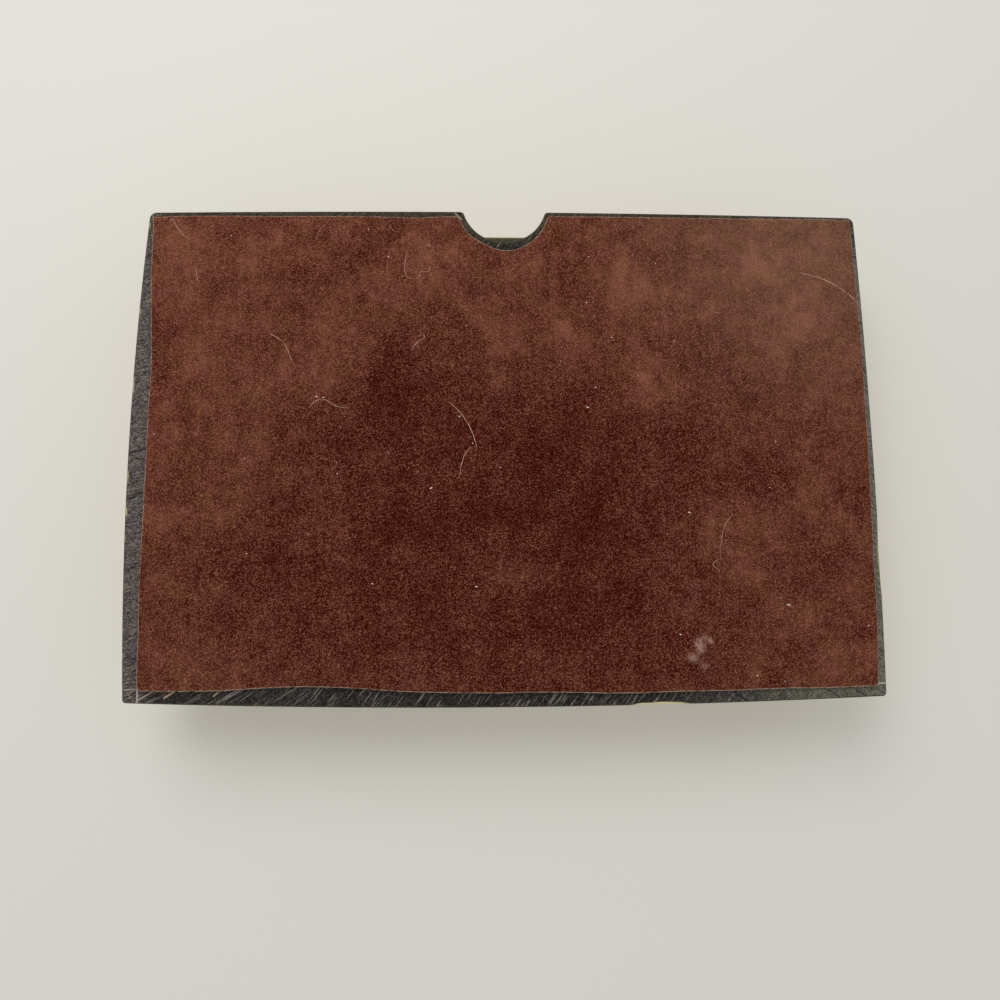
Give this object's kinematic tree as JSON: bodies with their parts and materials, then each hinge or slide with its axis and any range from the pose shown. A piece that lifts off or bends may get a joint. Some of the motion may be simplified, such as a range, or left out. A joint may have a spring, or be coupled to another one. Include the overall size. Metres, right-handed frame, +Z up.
{
  "type": "playing card box",
  "caption": "Low rectangular stoneware box for playing cards: a glazed cover lifts off a base tray with card wells, a curb, a finger notch in the front edge and felt beneath.",
  "frame": {"origin": "middle of the footprint at the underside of the base felt, where the box stands on a table", "axes": "+Z up, +X along the long side, and the finger notch in the front edge faces -Y"},
  "size_m": [0.1743, 0.1178, 0.0346],
  "materials": {
    "clay": "matte",
    "glaze": "satin",
    "felt": "matte"
  },
  "bodies": {
    "base": {"base_tray": "clay", "base_felt": "felt", "left_well_felt": "felt", "right_well_felt": "felt"},
    "cover": {"cover": "glaze"}
  },
  "joints": [
    {"name": "cover_lift", "type": "slide", "parent": "base", "child": "cover", "axis": [0, 0, 1], "range_m": [0, 0.045]}
  ]
}
